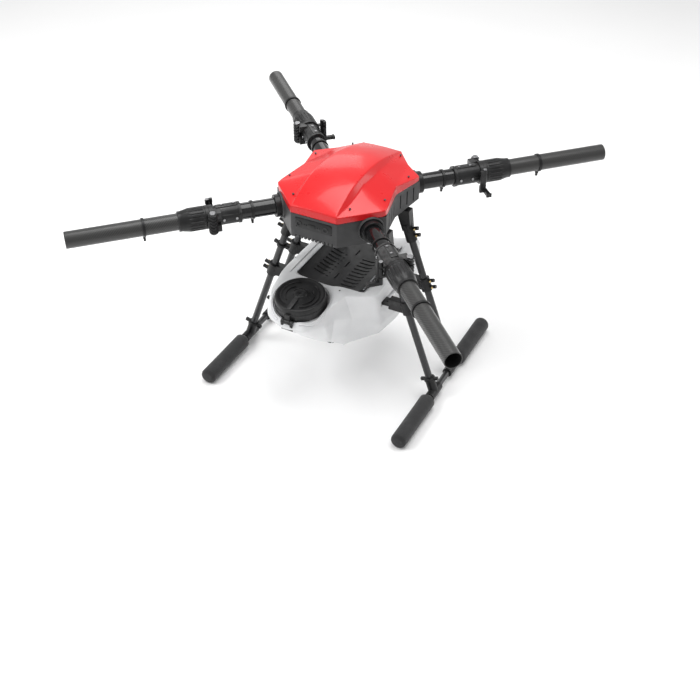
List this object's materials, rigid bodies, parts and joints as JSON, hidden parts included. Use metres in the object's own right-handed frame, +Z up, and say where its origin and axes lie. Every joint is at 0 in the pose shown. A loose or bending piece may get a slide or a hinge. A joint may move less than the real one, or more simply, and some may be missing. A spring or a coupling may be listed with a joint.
{
  "type": "agricultural spray drone",
  "caption": "Folding four-arm spray drone frame with red canopy, plug-in translucent tank, hinged filler cap, battery tray and padded skid landing gear.",
  "frame": {"origin": "middle of the footprint on the ground, under the canopy's middle", "axes": "+Z up, front towards -Y, +X to the right when looking at the drone's front"},
  "size_m": [0.9836, 0.9836, 0.5845],
  "materials": {
    "red_paint": "glossy painted red",
    "hull_plastic": "fine textured moulding",
    "black_moulding": "satin nylon",
    "clamp_plastic": "satin glass-filled nylon",
    "gloss_tube": "polished carbon tube",
    "carbon": "carbon twill under satin lacquer",
    "leg_tube": "dark anodised",
    "tray_plastic": "moulded grey",
    "tank_plastic": "translucent white",
    "cap_plastic": "satin black",
    "seal_rubber": "soft",
    "foam": "closed-cell foam sleeve",
    "steel": "machined",
    "dark_screw": "blackened",
    "brass": "turned",
    "aluminium": "machined",
    "circuit_board": "green board"
  },
  "bodies": {
    "frame": {"inner_arm_tubes": "gloss_tube", "inner_cable_clips": "black_moulding", "arm_collars": "black_moulding", "clamp_screws": "steel", "fold_pins": "steel", "latch_pins": "steel", "lower_hull": "hull_plastic", "connector_panel": "hull_plastic", "panel_sockets": "black_moulding", "canopy": "red_paint", "canopy_screws": "dark_screw", "canopy_gasket": "seal_rubber", "lower_frame_plate": "carbon", "upper_frame_plate": "carbon", "frame_spacers": "aluminium", "power_board": "circuit_board", "flight_controller": "black_moulding", "battery_tray": "tray_plastic", "tray_hangers": "aluminium", "leg_top_clamps": "black_moulding", "leg_tank_clamps": "black_moulding", "thread_inserts": "brass", "skid_joints": "black_moulding", "leg_cable_rings": "black_moulding", "leg_front_right": "leg_tube", "leg_rear_right": "leg_tube", "leg_front_left": "leg_tube", "leg_rear_left": "leg_tube", "skid_tubes": "leg_tube", "foam_pads_right": "foam", "foam_pads_left": "foam", "fold_clamp_rear_right": "clamp_plastic", "fold_clamp_rear_left": "clamp_plastic", "fold_clamp_front_left": "clamp_plastic", "fold_clamp_front_right": "clamp_plastic"},
    "tank": {"spray_tank": "tank_plastic", "cap_hinge_pin": "steel", "tank_outlet": "black_moulding"},
    "cap": {"filler_cap": "cap_plastic", "cap_seal": "seal_rubber"},
    "arm_rear_right": {"hinge_knuckle_rear_right": "clamp_plastic", "lock_sleeve_rear_right": "clamp_plastic", "outer_arm_tube_rear_right": "carbon", "outer_cable_clip_rear_right": "black_moulding"},
    "latch_rear_right": {"latch_lever_rear_right": "black_moulding"},
    "arm_rear_left": {"hinge_knuckle_rear_left": "clamp_plastic", "lock_sleeve_rear_left": "clamp_plastic", "outer_arm_tube_rear_left": "carbon", "outer_cable_clip_rear_left": "black_moulding"},
    "latch_rear_left": {"latch_lever_rear_left": "black_moulding"},
    "arm_front_left": {"hinge_knuckle_front_left": "clamp_plastic", "lock_sleeve_front_left": "clamp_plastic", "outer_arm_tube_front_left": "carbon", "outer_cable_clip_front_left": "black_moulding"},
    "latch_front_left": {"latch_lever_front_left": "black_moulding"},
    "arm_front_right": {"hinge_knuckle_front_right": "clamp_plastic", "lock_sleeve_front_right": "clamp_plastic", "outer_arm_tube_front_right": "carbon", "outer_cable_clip_front_right": "black_moulding"},
    "latch_front_right": {"latch_lever_front_right": "black_moulding"}
  },
  "joints": [
    {"name": "fold_rear_right", "type": "hinge", "parent": "frame", "child": "arm_rear_right", "pos_m": [0.21779, 0.26163, 0.4947], "axis": [0, 0, 1], "range_deg": [0, 130]},
    {"name": "latch_rear_right", "type": "hinge", "parent": "frame", "child": "latch_rear_right", "pos_m": [0.26375, 0.21425, 0.4947], "axis": [0, 0, 1], "range_deg": [0, 65]},
    {"name": "fold_rear_left", "type": "hinge", "parent": "frame", "child": "arm_rear_left", "pos_m": [-0.26163, 0.21779, 0.4947], "axis": [0, 0, 1], "range_deg": [0, 130]},
    {"name": "latch_rear_left", "type": "hinge", "parent": "frame", "child": "latch_rear_left", "pos_m": [-0.21425, 0.26375, 0.4947], "axis": [0, 0, 1], "range_deg": [0, 65]},
    {"name": "fold_front_left", "type": "hinge", "parent": "frame", "child": "arm_front_left", "pos_m": [-0.21779, -0.26163, 0.4947], "axis": [0, 0, 1], "range_deg": [0, 130]},
    {"name": "latch_front_left", "type": "hinge", "parent": "frame", "child": "latch_front_left", "pos_m": [-0.26375, -0.21425, 0.4947], "axis": [0, 0, 1], "range_deg": [0, 65]},
    {"name": "fold_front_right", "type": "hinge", "parent": "frame", "child": "arm_front_right", "pos_m": [0.26163, -0.21779, 0.4947], "axis": [0, 0, 1], "range_deg": [0, 130]},
    {"name": "latch_front_right", "type": "hinge", "parent": "frame", "child": "latch_front_right", "pos_m": [0.21425, -0.26375, 0.4947], "axis": [0, 0, 1], "range_deg": [0, 65]},
    {"name": "tank_slide", "type": "slide", "parent": "frame", "child": "tank", "axis": [0, -1, 0], "range_m": [0, 0.26]},
    {"name": "cap_hinge", "type": "hinge", "parent": "tank", "child": "cap", "pos_m": [-0.037, -0.24966, 0.26285], "axis": [1, 0, 0], "range_deg": [0, 110]}
  ]
}
